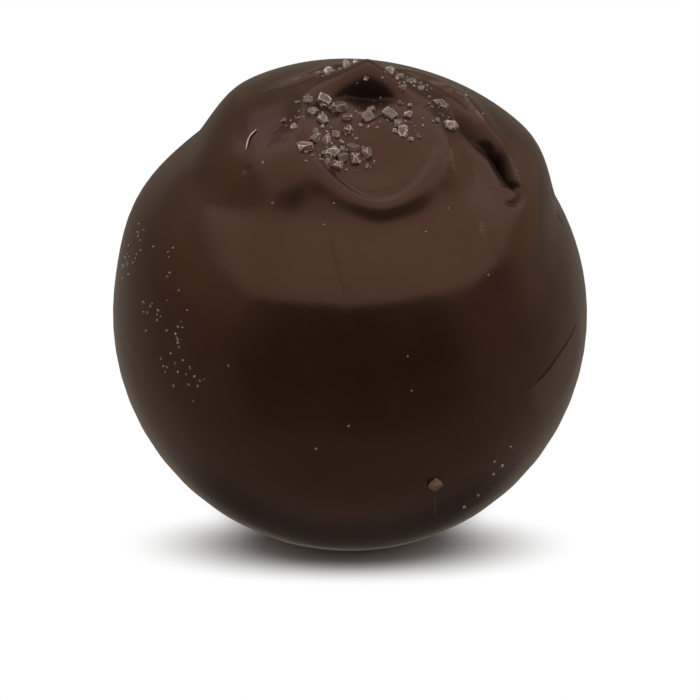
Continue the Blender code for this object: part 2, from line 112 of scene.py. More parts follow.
THIN_RIDGE = [
    (5.6, -2.7, 0.0, 0.16, 0.16), (5.71, -3.2, 0.06, 0.16, 0.16), (5.85, -3.81, 0.06, 0.16, 0.16),
    (6.23, -4.75, 0.0, 0.16, 0.16),
]
CRESTS = [LIP, LEFT_LOBE, DISH_WALL, BACK_LEFT_CREST, RIGHT_CREST, THIN_RIDGE]
GROOVE_OFFSET = 0.62
GROOVE_WIDTH = 0.2
GROOVE_SHARE = 0.25

# u, v, half width, half depth, how deep, share of the half width that is level, width of the slope round it
DISH = (1.45, -3.1, 3.9, 4.3, 0.35)
DISH_LEVEL = 0.4
DISH_SLOPE = 0.65
LEFT_PIT = (-1.2, -0.6, 0.85, 1.2, 0.35)

# The peak is an arch, open to the front over a hollow. Its wall is steepest at its foot.
# u, v of the foot, how high the arch stands, how far the hollow sinks, width of the wall; from left to right
ARCH = [
    (-1.8, -0.7, 0.0, 0.0, 0.6), (-1.25, -0.05, 0.25, 0.05, 0.7), (-0.65, 0.28, 0.55, 0.15, 0.9),
    (0.1, 0.4, 0.95, 0.3, 1.15), (0.9, 0.42, 1.4, 0.4, 1.3), (1.65, 0.4, 1.05, 0.3, 1.1),
    (2.3, 0.3, 0.6, 0.15, 0.85), (2.85, 0.0, 0.25, 0.05, 0.7), (3.2, -0.5, 0.0, 0.0, 0.6),
]
ARCH_FALL = 1.9
HOLLOW_REACH = 1.6
WALL_POWER = 2.5

# The fold: the flap at its right ends in a wall, which stands on the plate at its left.
# u, v of the foot, height of the wall, width of the wall, depth of the slot at its foot
FOLD = [
    (5.75, 1.9, 0.0, 1.6, 0.0), (6.1, 0.95, 0.35, 1.4, 0.0), (6.5, 0.2, 0.7, 1.35, 0.0),
    (7.05, -0.4, 0.86, 1.3, 0.0), (7.8, -0.8, 0.84, 1.35, 0.05), (8.6, -1.05, 0.76, 1.0, 0.35),
    (9.25, -1.5, 0.64, 0.65, 1.1), (9.8, -2.2, 0.5, 0.42, 1.4), (10.2, -2.85, 0.34, 0.34, 1.2),
    (10.45, -3.35, 0.14, 0.3, 0.3), (10.5, -3.7, 0.0, 0.3, 0.0),
]
FOOT_SOFTNESS = 0.14
# the small rounded lip beside the slot, and the shallow crease that the slot ends in
SLOT_LIP = [
    (9.5, -0.75, 0.0, 0.2, 0.2), (9.95, -1.2, 0.1, 0.2, 0.2), (10.45, -1.9, 0.14, 0.2, 0.2),
    (10.8, -2.6, 0.1, 0.2, 0.2), (10.95, -3.1, 0.0, 0.2, 0.2),
]
FOLD_HOOK = [
    (10.35, -3.05, 0.0, 0.14, 0.14), (10.75, -3.5, -0.2, 0.14, 0.14), (10.75, -3.95, -0.24, 0.14, 0.14),
    (10.5, -4.4, -0.22, 0.14, 0.14), (10.05, -4.75, -0.12, 0.14, 0.14), (9.6, -4.9, 0.0, 0.14, 0.14),
]
# fine marks of the coating as it set: a crease down the front and a soft drip
FRONT_CREASE = [
    (-1.55, -8.0, 0.0, 0.25, 0.2), (-1.46, -8.71, -0.025, 0.3, 0.18), (-0.89, -11.09, -0.035, 0.3, 0.18),
    (-0.29, -13.2, -0.02, 0.3, 0.2), (0.0, -14.2, 0.0, 0.3, 0.2),
]
DRIP = [
    (8.7, -5.3, 0.0, 0.3, 0.3), (8.79, -6.11, 0.04, 0.3, 0.35), (8.71, -7.87, 0.05, 0.3, 0.35),
    (9.39, -8.56, 0.03, 0.3, 0.3), (9.9, -8.9, 0.0, 0.3, 0.3),
]
# painted highlights along thin crests, ridges, the slot's lip and the drip: how pale in the third column
PAINTED_HIGHLIGHT_LINES = [
    [(-5.0, 2.22, 0.2, 0.1, 0.1), (-3.9, 2.38, 0.6, 0.1, 0.1), (-2.8, 2.4, 0.7, 0.1, 0.1),
     (-1.6, 2.56, 0.3, 0.1, 0.1), (-0.8, 3.2, 0.0, 0.1, 0.1)],
    [(-0.8, 1.9, 0.0, 0.08, 0.08), (0.03, 3.1, 0.5, 0.08, 0.08), (0.49, 4.05, 0.3, 0.08, 0.08)],
    [(1.3, 5.3, 0.3, 0.1, 0.1), (1.75, 4.15, 0.8, 0.1, 0.1), (2.3, 3.3, 0.5, 0.1, 0.1),
     (2.9, 2.5, 0.0, 0.1, 0.1)],
    [(3.13, 3.86, 0.2, 0.12, 0.12), (4.06, 3.39, 0.6, 0.12, 0.12), (5.0, 3.12, 0.7, 0.12, 0.12),
     (5.97, 3.0, 0.5, 0.12, 0.12), (6.9, 3.0, 0.1, 0.12, 0.12)],
    [(5.58, 2.66, 0.3, 0.1, 0.1), (6.25, 2.6, 0.8, 0.1, 0.1), (6.7, 2.3, 0.5, 0.1, 0.1),
     (7.02, 1.69, 0.7, 0.08, 0.08), (7.32, 1.32, 0.8, 0.08, 0.08), (7.68, 0.79, 0.6, 0.08, 0.08),
     (8.04, 0.32, 0.0, 0.08, 0.08)],
    [(5.71, -3.2, 0.2, 0.08, 0.08), (5.85, -3.81, 0.6, 0.08, 0.08), (6.03, -4.32, 0.5, 0.08, 0.08),
     (6.23, -4.75, 0.0, 0.08, 0.08)],
    [(9.45, -0.7, 0.0, 0.1, 0.1), (9.85, -1.15, 0.4, 0.1, 0.1), (10.4, -1.9, 0.5, 0.1, 0.1),
     (10.75, -2.6, 0.3, 0.1, 0.1), (10.9, -3.1, 0.0, 0.1, 0.1)],
    [(8.2, -6.6, 0.0, 0.14, 0.14), (8.3, -7.4, 0.35, 0.14, 0.14), (8.45, -8.1, 0.0, 0.14, 0.14)],
]
# painted shade, dark and matte, inside the fold, along its hook, in the hollow under the arch and down the
# front
# crease: how strong in the third column
PAINTED_SHADE_LINES = [
    [(5.6, 1.9, 0.0, 0.4, 0.12), (6.1, 0.95, 0.22, 0.5, 0.12), (6.5, 0.2, 0.6, 0.65, 0.14),
     (7.05, -0.4, 0.68, 0.7, 0.14), (7.8, -0.8, 0.6, 0.7, 0.14), (8.6, -1.05, 0.65, 0.55, 0.12),
     (9.25, -1.5, 1.25, 0.6, 0.12), (9.8, -2.2, 1.4, 0.5, 0.12), (10.2, -2.85, 1.3, 0.36, 0.12),
     (10.45, -3.35, 0.5, 0.14, 0.1), (10.5, -3.7, 0.0, 0.1, 0.1)],
    [(10.35, -3.05, 0.0, 0.12, 0.12), (10.75, -3.5, 0.4, 0.12, 0.12), (10.75, -3.95, 0.6, 0.12, 0.12),
     (10.5, -4.4, 0.6, 0.12, 0.12), (10.05, -4.75, 0.4, 0.12, 0.12), (9.6, -4.9, 0.0, 0.12, 0.12)],
    [(-1.25, -0.05, 0.0, 0.3, 0.3), (-0.65, 0.28, 0.4, 0.4, 0.35), (0.1, 0.4, 0.7, 0.5, 0.45),
     (0.9, 0.42, 0.75, 0.5, 0.5), (1.65, 0.4, 0.7, 0.5, 0.45), (2.3, 0.3, 0.4, 0.4, 0.35),
     (2.85, 0.0, 0.0, 0.3, 0.3)],
    [(-1.46, -8.7, 0.0, 0.1, 0.1), (-0.89, -11.1, 0.2, 0.1, 0.1), (-0.29, -13.2, 0.2, 0.1, 0.1),
     (0.0, -14.2, 0.0, 0.1, 0.1)],
]
# u, v, half width, half depth and height of small dents and notches
DENTS = [(-6.01, -4.5, 0.2, 0.14, -0.12), (14.25, 0.38, 0.3, 0.4, -0.14), (15.44, -0.64, 0.3, 0.4, -0.14)]
FOLD_DIP = 0.8
SLOT_WIDTH = 0.2
SLOT_PLACE = 0.13
FLAP_RISE = 0.08
FLAP_REACH = 0.8
FLAP_LEAN = 0.35
FLAP_LEAN_REACH = 0.9
# the plate between the lip and the fold lies a little low: u, v, half width, half depth, how deep
PLATE = (8.0, -3.2, 2.1, 2.2, 0.42)


def smooth_step(x):
    """0 below 0 and 1 above 1, with the S-curve 3x^2 - 2x^3 between."""
    x = np.clip(x, 0.0, 1.0)
    return x * x * (3.0 - 2.0 * x)


def spline(points, steps=10):
    """A Catmull-Rom curve through the points, with every column carried along it."""
    p = np.asarray(points, float)
    p = np.vstack([2 * p[0] - p[1], p, 2 * p[-1] - p[-2]])
    s = np.linspace(0.0, 1.0, steps, endpoint=False)[:, None]
    runs = []
    for a, b, c, d in zip(p[:-3], p[1:-2], p[2:-1], p[3:]):
        bend = (2 * a - 5 * b + 4 * c - d) * s**2 + (3 * b - a - 3 * c + d) * s**3
        runs.append(0.5 * (2 * b + (c - a) * s + bend))
    return np.vstack(runs + [p[-2:-1]])


def nearest(u, v, points):
    """For every (u, v): the distance to the curve, positive on its left, the values carried there,
    and the direction that points to its left."""
    curve = spline(points)
    places = np.column_stack([u, v])
    closest = np.full(len(places), np.inf)
    distance = np.zeros(len(places))
    carried = np.zeros((len(places), curve.shape[1] - 2))
    leftward = np.zeros((len(places), 2))
    for start, end in zip(curve[:-1], curve[1:]):
        run = end[:2] - start[:2]
        share = np.clip((places - start[:2]) @ run / (run @ run), 0.0, 1.0)
        off = places - start[:2] - share[:, None] * run
        gap = np.hypot(off[:, 0], off[:, 1])
        nearer = gap < closest
        closest[nearer] = gap[nearer]
        side = np.sign(run[0] * off[nearer, 1] - run[1] * off[nearer, 0])
        distance[nearer] = side * gap[nearer]
        carried[nearer] = start[2:] + share[nearer, None] * (end[2:] - start[2:])
        leftward[nearer] = np.array([-run[1], run[0]]) / np.hypot(*run)
    return distance, carried, leftward


def around(direction, rows, column):
    """A value that changes smoothly with the direction round the top: cubic Hermite between the rows."""
    rows = np.array(sorted(rows))
    x = np.concatenate([rows[:, 0] - 360, rows[:, 0], rows[:, 0] + 360])
    y = np.tile(rows[:, column], 3)
    slope = np.gradient(y, x)
    i = np.clip(np.searchsorted(x, direction, side="right") - 1, 0, len(x) - 2)
    width = x[i + 1] - x[i]
    s = (direction - x[i]) / width
    start = (1 + 2 * s) * (1 - s) ** 2 * y[i] + s * (1 - s) ** 2 * width * slope[i]
    return start + s * s * (3 - 2 * s) * y[i + 1] + s * s * (s - 1) * width * slope[i + 1]


def swirl_mound(reach, direction):
    """The swirl's plateau: an S-curve down to the ball at each of its two steps, and where the two together
    are lower than the plateau, a gentle slope down from the top makes up the difference."""
    low = 1.0
    rise = 0.0
    for first in (1, 4):
        edge, slope, tall = (around(direction, SWIRL_STEPS, first + column) for column in range(3))
        rise = rise + tall * (1.0 - smooth_step((reach - edge) / slope + 0.5))
        low = low - tall / SWIRL_HEIGHT
    return rise + SWIRL_HEIGHT * low * (1.0 - smooth_step(reach / SWIRL_LEVEL_REACH))


def shoulder(reach, direction):
    """The rounded crease round the front: a tent with a soft top, exponential on both sides."""
    across = reach - around(direction, SHOULDER, 1)
    amount = np.clip(around(direction, SHOULDER, 2), 0.0, 1.0)
    fall = np.where(across < 0, SHOULDER_FALL_ABOVE, SHOULDER_FALL_BELOW)
    tent = np.exp(-(np.hypot(across, SHOULDER_ROUNDING) - SHOULDER_ROUNDING) / fall)
    return SHOULDER_HEIGHT * amount * tent * smooth_step((reach - SHOULDER_START) / SHOULDER_FADE)


def left_bulge(reach, direction):
    """The soft bulge at the left: a bell over the distance and over the direction."""
    middle, distance, spread, width, tall = LEFT_BULGE
    turn = (direction - middle + 180.0) % 360.0 - 180.0
    return tall * np.exp(-(turn / spread) ** 2 - ((reach - distance) / width) ** 2)


def crest(u, v, line):
    """A raised line: a bell across it, with its own width on each side."""
    distance, carried, _ = nearest(u, v, line)
    tall, left, right = carried.T
    return tall * np.exp(-(distance / np.where(distance > 0, left, right)) ** 2)


def groove(u, v):
    """The narrow groove that follows the lip on its inside: a bell across it."""
    distance, carried, _ = nearest(u, v, LIP)
    return GROOVE_SHARE * carried[:, 0] * np.exp(-((distance - GROOVE_OFFSET) / GROOVE_WIDTH) ** 2)


def dish(u, v):
    """The shallow dish inside the lip: level in the middle, with an S-curve at its rim."""
    middle_u, middle_v, half_u, half_v, deep = DISH
    out = np.hypot((u - middle_u) / half_u, (v - middle_v) / half_v)
    return deep * (1.0 - smooth_step((out - DISH_LEVEL) / DISH_SLOPE))


def wall_profile(share):
    """A wall that is steepest at its foot and rounded at its top: 1 - (1 - x)^p."""
    return 1.0 - (1.0 - np.clip(share, 0.0, 1.0)) ** WALL_POWER


def arch(u, v):
    """The pulled-up peak: a steep wall along the arch, a long bell behind it and a hollow before it."""
    distance, carried, _ = nearest(u, v, ARCH)
    tall, deep, width = carried.T
    behind = np.exp(-(np.maximum(distance - width, 0.0) / ARCH_FALL) ** 2)
    before = np.exp(-(np.minimum(distance, 0.0) / HOLLOW_REACH) ** 2)
    return ((tall + deep) * wall_profile(distance / width) - deep) * behind * before


def fold(u, v):
    """The fold: the surface dips to the slot, and the flap's wall rises from it and stands proud. The corner
    at the wall's foot is softened by taking (d + sqrt(d^2 + s^2)) / 2 for the distance."""
    distance, carried, _ = nearest(u, v, FOLD)
    tall, width, deep = carried.T
    wall = wall_profile(0.5 * (distance + np.hypot(distance, FOOT_SOFTNESS)) / width)
    dip = tall * (1.0 - wall) * np.exp(-(np.minimum(distance, 0.0) / FOLD_DIP) ** 2)
    slot = deep * np.exp(-((distance - SLOT_PLACE) / SLOT_WIDTH) ** 2)
    flap = FLAP_RISE * tall * wall * np.exp(-((distance - width) / FLAP_REACH) ** 2)
    return flap - dip - slot


def bell(u, v, place):
    """A smooth bump: its value in the middle, falling off as a bell both ways."""
    middle_u, middle_v, half_u, half_v, tall = place
    return tall * np.exp(-((u - middle_u) / half_u) ** 2 - ((v - middle_v) / half_v) ** 2)


def flap_lean(u, v):
    """How far a place moves towards the slot, so that the flap's edge leans over it."""
    distance, carried, leftward = nearest(u, v, FOLD)
    wall = wall_profile(distance / carried[:, 1])
    fade = np.exp(-(np.maximum(distance - carried[:, 1], 0.0) / FLAP_LEAN_REACH) ** 2)
    return -leftward * (FLAP_LEAN * carried[:, 2] * wall * fade)[:, None]


def height(u, v):
    """Height of the chocolate over the ball, the sum of the forms above."""
    reach = np.hypot(u, v)
    direction = np.degrees(np.arctan2(v, u))
    rise = swirl_mound(reach, direction) + shoulder(reach, direction) + left_bulge(reach, direction)
    rise += arch(u, v) + fold(u, v)
    for line in CRESTS + [SLOT_LIP, FOLD_HOOK, FRONT_CREASE, DRIP]:
        rise += crest(u, v, line)
    for dent in DENTS:
        rise += bell(u, v, dent)
    return rise - dish(u, v) - groove(u, v) - bell(u, v, LEFT_PIT) - bell(u, v, PLATE)


def outward(u, v):
    """Unit directions from the ball's middle to places on the map: the angle from the top is the distance
    from it over the radius."""
    down = np.hypot(u, v) / BALL_RADIUS
    direction = np.arctan2(v, u)
    level = np.sin(down)[:, None] * np.column_stack([np.cos(direction), np.sin(direction)])
    return np.column_stack([level, np.cos(down)])


def unit(vector):
    """The vector at length 1."""
    return vector / np.linalg.norm(vector)


def surface(u, v):
    """Points on the praline: out from the ball's middle by the radius and the height, with what would hang
    below the foot laid flat on it and a rounded turn between."""
    rise = height(u, v)
    u, v = (np.column_stack([u, v]) + flap_lean(u, v)).T
    points = outward(u, v) * (BALL_RADIUS + rise)[:, None]
    above = points[:, 2] + CENTRE_HEIGHT
    turn = np.maximum(FOOT_ROUNDING - np.abs(above), 0.0)
    points[:, 2] = np.maximum(above, 0.0) + turn**2 / (4.0 * FOOT_ROUNDING)
    return points


# The mesh is a square sheet wrapped round the ball from the top, its rings set closer near the top
SHEET_RINGS = 150
SHEET_END = 3.05 * BALL_RADIUS
RING_GROWTH = 30.0
RING_POWER = 12
NOT_ZERO = 1e-9


def wrapped_sheet(rings):
    """u and v of a square grid wrapped round the top: the larger of |x| and |y| gives the ring, the other
    gives the place along it, and the ring's distance grows as r + g r^(p+1) / (p+1)."""
    side = np.linspace(-1.0, 1.0, 2 * rings + 1)
    x, y = (values.ravel() for values in np.meshgrid(side, side))
    ring = np.maximum(np.abs(x), np.abs(y))
    sideways = np.abs(x) >= np.abs(y)
    longer = np.where(sideways, x, y)
    shorter = np.where(sideways, y, x)
    ratio = shorter / np.maximum(ring, NOT_ZERO) * np.where(longer < 0, -1.0, 1.0)
    turn = 0.25 * np.pi * ratio
    from_the_side = np.where(x < 0, np.pi, 0.0) + turn
    from_the_back = np.where(y < 0, -0.5, 0.5) * np.pi - turn
    direction = np.where(sideways, from_the_side, from_the_back)
    power = RING_POWER + 1
    grown = (ring + RING_GROWTH * ring**power / power) / (1.0 + RING_GROWTH / power)
    return SHEET_END * grown * np.cos(direction), SHEET_END * grown * np.sin(direction)


def grid_faces(rows, columns):
    """Four-sided faces of a grid of rows by columns points."""
    first = (np.arange(rows - 1)[:, None] * columns + np.arange(columns - 1)).ravel()
    return np.column_stack([first, first + 1, first + columns + 1, first + columns])


def piece(name, points, faces, finish):
    """A smooth-shaded mesh object that rides on the praline. Points are millimetres."""
    mesh = bpy.data.meshes.new(name)
    mesh.from_pydata((points * MM).tolist(), [], faces)
    mesh.shade_smooth()
    mesh.materials.append(finish)
    made = bpy.data.objects.new(name, mesh)
    bpy.context.scene.collection.objects.link(made)
    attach(made, "root")
    return made


def mark_points(made, name, values):
    """Give each point of the piece a number that its material reads by name."""
    attribute = made.data.attributes.new(name, "FLOAT", "POINT")
    attribute.data.foreach_set("value", values.astype(np.float32))


class Wire:
    """A number that a shader works out. Arithmetic on it adds Math nodes to the same material."""

    def __init__(self, recipe, socket):
        self.recipe = recipe
        self.socket = socket

    def math(self, operation, first, second=0.0):
        return self.recipe.node("ShaderNodeMath", {"operation": operation}, {0: first, 1: second})

    def absolute(self):
        return self.math("ABSOLUTE", self)

    def __add__(self, other):
        return self.math("ADD", self, other)

    def __sub__(self, other):
        return self.math("SUBTRACT", self, other)

    def __rsub__(self, other):
        return self.math("SUBTRACT", other, self)

    def __mul__(self, other):
        return self.math("MULTIPLY", self, other)

    __radd__ = __add__
    __rmul__ = __mul__


class Recipe:
    """The nodes of a material or a world. node() adds any node: its type, its settings, then the values or
    links of its sockets."""

    def __init__(self, owner):
        self.owner = owner
        owner.use_nodes = True
        self.tree = owner.node_tree
        self.tree.nodes.clear()

    def node(self, kind, settings=None, sockets=None, out=0):
        made = self.tree.nodes.new(kind)
        for key, value in (settings or {}).items():
            setattr(made, key, value)
        for key, value in (sockets or {}).items():
            if isinstance(value, Wire):
                self.tree.links.new(value.socket, made.inputs[key])
            else:
                made.inputs[key].default_value = value
        return Wire(self, made.outputs[out]) if made.outputs else made

    def place(self):
        return self.node("ShaderNodeTexCoord", out="Object")

    def attribute(self, name):
        """The number that mark_points gave under this name."""
        return self.node("ShaderNodeAttribute", {"attribute_name": name}, out="Fac")

    def noise(self, size, detail=3.0):
        """Cloudy noise from 0 to 1 whose blotches are about size millimetres across."""
        sockets = {"Vector": self.place(), "Scale": 1.0 / (size * MM), "Detail": detail}
        return self.node("ShaderNodeTexNoise", None, sockets)

    def vector(self, operation, first, second, out=0):
        return self.node("ShaderNodeVectorMath", {"operation": operation}, {0: first, 1: second}, out=out)

    def distance(self, middle):
        """How far each point is from the middle, in metres."""
        return self.vector("DISTANCE", self.place(), middle, out="Value")

    def mask(self, value, low, high):
        """0 where the value is at low or beyond, 1 where it is at high or beyond, smooth between."""
        settings = {"interpolation_type": "SMOOTHSTEP", "clamp": True}
        return self.node("ShaderNodeMapRange", settings, {"Value": value, "From Min": low, "From Max": high})

    def blend(self, share, first, second):
        """From the first colour to the second by the share."""
        sockets = {"Factor": share, "A": first, "B": second}
        return self.node("ShaderNodeMix", {"data_type": "RGBA"}, sockets, out=2)

    def bump(self, height_value, depth, normal=None):
        """A bump that stands depth millimetres high where the value is 1."""
        sockets = {"Height": height_value, "Distance": depth * MM, "Strength": 1.0}
        if normal is not None:
            sockets["Normal"] = normal
        return self.node("ShaderNodeBump", None, sockets)

    def shader(self, sockets):
        return self.node("ShaderNodeBsdfPrincipled", None, sockets)

    def mixed(self, share, first, second):
        return self.node("ShaderNodeMixShader", None, {0: share, 1: first, 2: second})

    def finish(self, surface_shader):
        self.node("ShaderNodeOutputMaterial", None, {"Surface": surface_shader})
        return self.owner


# The seam where the coating laps over itself, low at the right, with a thin line of painted shade along it:
# its two ends, then its width, how far it reaches from its middle, how far it wavers, the size of the wavers,
# and how high the lap stands.
SEAM = [(16.42, -13.74), (19.41, -7.23)]
SEAM_WIDTH = 0.16
SEAM_REACH = 3.0
SEAM_STRAY = 0.5
SEAM_WAVE = 2.2
SEAM_LAP = 0.05
# shares of the reach where the seam starts to fade, and where the lap ends
SEAM_FULL = 0.8
LAP_REACH = 1.4
# a scratch by the crumb: its two ends, width, and how far from its middle it has gone and is full
SCRATCH = [(9.58, -25.56), (12.02, -28.31)]
SCRATCH_WIDTH = 0.12
SCRATCH_FADE = (2.1, 1.2)
# the share of a thin line's width that has its full strength
LINE_CORE = 0.3

# a patch of greyish bloom, high at the left: middle, reach, the share of it by which its edge strays, and
# the shares of it where the patch has ended and where it is full
BLOOM_MIDDLE = (-10.8, 3.0, 23.8)
BLOOM_REACH = 4.2
BLOOM_STRAY = 0.5
BLOOM_FADE = (1.25, 0.6)

# colours of the chocolate: two between its mottles, then bloomed, its painted highlights and scratch, its
# painted shade in the folds, and its sheen
DEEP_COLOUR = (0.0285, 0.0152, 0.0098, 1.0)
PALE_COLOUR = (0.0345, 0.0192, 0.0126, 1.0)
BLOOM_COLOUR = (0.1, 0.08, 0.07, 1.0)
HIGHLIGHT_AND_SCRATCH_COLOUR = (0.19, 0.135, 0.105, 1.0)
PAINTED_SHADE_COLOUR = (0.006, 0.0035, 0.0025, 1.0)
SHEEN_TINT = (1.0, 0.53, 0.37, 1.0)

# sizes of its mottles, its fine grain, its slow ripples and the breaks in the painted highlights and the
# scratch
MOTTLE_SIZE = 4.0
MOTTLE_LIMITS = (0.35, 0.68)
GRAIN_SIZE = 0.35
GRAIN_DEPTH = 0.004
RIPPLE_SIZE = 2.6
RIPPLE_DEPTH = 0.05
LINE_BREAK_SIZE = 0.5
LINE_BREAK_LIMITS = (0.3, 0.6)

# how strongly each mark shows
LAP_BLOOM = 0.85
BLOOM_SHARE = 0.5
SCRATCH_SHARE = 0.3
PAINTED_SHADE_SHARE = 0.95
SEAM_SHADE_SHARE = 0.55

# roughness of the satin, what mottles and bloom add to it, and its shine; then those of the painted shade
SATIN_ROUGHNESS = 0.21
MOTTLE_ROUGHNESS = 0.08
BLOOM_ROUGHNESS = 0.16
SATIN_SHINE = 0.62
PAINTED_SHADE_ROUGHNESS = 0.6
PAINTED_SHADE_SHINE = 0.05


def line_on_ball(recipe, first, second):
    """How far each point is off the plane through two places and the ball's middle, positive on the right
    of the way from the first to the second, and how far it is from halfway between them, both in metres."""
    ends = outward(*np.array([first, second]).T)
    across = unit(np.cross(ends[1], ends[0]))
    middle = np.array([0.0, 0.0, CENTRE_HEIGHT]) * MM
    halfway = middle + BALL_RADIUS * MM * unit(ends.sum(axis=0))
    from_middle = recipe.vector("SUBTRACT", recipe.place(), middle.tolist())
    off = recipe.vector("DOT_PRODUCT", from_middle, across.tolist(), out="Value")
    return off, recipe.distance(halfway.tolist())


def thin_line(recipe, off, width):
    """1 along the middle of a line and 0 from its width outward."""
    return recipe.mask(off.absolute(), width * MM, LINE_CORE * width * MM)


def seam_marks(recipe):
    """The seam's painted shade, a thin dark line that wavers, and the lap of coating on its right."""
    off, away = line_on_ball(recipe, *SEAM)
    off = off + SEAM_STRAY * MM * (recipe.noise(SEAM_WAVE) - 0.5)
    reach = SEAM_REACH * MM
    seam = thin_line(recipe, off, SEAM_WIDTH) * recipe.mask(away, reach, SEAM_FULL * reach)
    lap = recipe.mask(off, 0.0, SEAM_WIDTH * MM) * recipe.mask(away, LAP_REACH * reach, reach)
    return seam, lap


def scratch_mark(recipe):
    """The short scratch by the crumb."""
    off, away = line_on_ball(recipe, *SCRATCH)
    gone, full = (limit * MM for limit in SCRATCH_FADE)
    return thin_line(recipe, off, SCRATCH_WIDTH) * recipe.mask(away, gone, full)


def bloom_patch(recipe, mottle):
    """The patch of bloom, with an edge that strays with the mottles."""
    reach = BLOOM_REACH * MM
    away = recipe.distance([place * MM for place in BLOOM_MIDDLE])
    gone, full = (share * reach for share in BLOOM_FADE)
    return recipe.mask(away + BLOOM_STRAY * reach * mottle, gone, full)


def milk_chocolate():
    """Satin milk chocolate: faintly mottled, greyish with bloom at the lap and in a patch, with painted
    highlights along thin crests, pale along the scratch, and painted shade, dark and matte, in the folds, the
    hollow under the arch, the front crease and along the seam."""
    recipe = Recipe(bpy.data.materials.new("milk chocolate"))
    mottle = recipe.noise(MOTTLE_SIZE, detail=4.0)
    seam, lap = seam_marks(recipe)
    bloom = LAP_BLOOM * lap + bloom_patch(recipe, mottle)
    # painted highlights along thin crests, from the body's points, with the real scratch added
    painted_highlight_and_scratch = recipe.attribute("painted_highlight_and_scratch") + SCRATCH_SHARE * scratch_mark(recipe)
    painted_highlight_and_scratch = painted_highlight_and_scratch * recipe.mask(recipe.noise(LINE_BREAK_SIZE), *LINE_BREAK_LIMITS)
    colour = recipe.blend(recipe.mask(mottle, *MOTTLE_LIMITS), DEEP_COLOUR, PALE_COLOUR)
    colour = recipe.blend(BLOOM_SHARE * bloom, colour, BLOOM_COLOUR)
    colour = recipe.blend(painted_highlight_and_scratch, colour, HIGHLIGHT_AND_SCRATCH_COLOUR)
    ripples = recipe.bump(recipe.noise(RIPPLE_SIZE, detail=1.0), RIPPLE_DEPTH)
    grain = recipe.bump(recipe.noise(GRAIN_SIZE, detail=2.0), GRAIN_DEPTH, ripples)
    satin = recipe.shader({
        "Base Color": colour,
        "Roughness": SATIN_ROUGHNESS + MOTTLE_ROUGHNESS * mottle + BLOOM_ROUGHNESS * bloom,
        "Specular IOR Level": SATIN_SHINE,
        "Specular Tint": SHEEN_TINT,
        "Normal": recipe.bump(lap, SEAM_LAP, grain),
    })
    # a dark, matte surface, mixed in as painted shade
    painted_shade = recipe.shader({
        "Base Color": PAINTED_SHADE_COLOUR,
        "Roughness": PAINTED_SHADE_ROUGHNESS,
        "Specular IOR Level": PAINTED_SHADE_SHINE,
    })
    # painted shade from the body's points and along the seam
    painted_shade_share = PAINTED_SHADE_SHARE * recipe.attribute("painted_shade") + SEAM_SHADE_SHARE * seam
    return recipe.finish(recipe.mixed(painted_shade_share, satin, painted_shade))


sheet_u, sheet_v = wrapped_sheet(SHEET_RINGS)
sheet_side = 2 * SHEET_RINGS + 1
sheet_points = surface(sheet_u, sheet_v)
sheet_faces = grid_faces(sheet_side, sheet_side).tolist()
sheet_index = np.arange(sheet_side**2).reshape(sheet_side, sheet_side)
# the open end of the sheet lies flat in the foot, and one face closes it
sheet_rim = np.concatenate([
    sheet_index[0, :-1],
    sheet_index[:-1, -1],
    sheet_index[-1, :0:-1],
    sheet_index[:0:-1, 0],
])
sheet_faces.append(sheet_rim[::-1].tolist())
body = piece("chocolate_body", sheet_points, sheet_faces, milk_chocolate())
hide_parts("praline")
# how strongly each point of the body takes the painted highlights and the painted shade
for mark_name, mark_lines in (("painted_highlight_and_scratch", PAINTED_HIGHLIGHT_LINES), ("painted_shade", PAINTED_SHADE_LINES)):
    strength = sum(crest(sheet_u, sheet_v, line) for line in mark_lines)
    mark_points(body, mark_name, np.clip(strength, 0.0, 1.0))

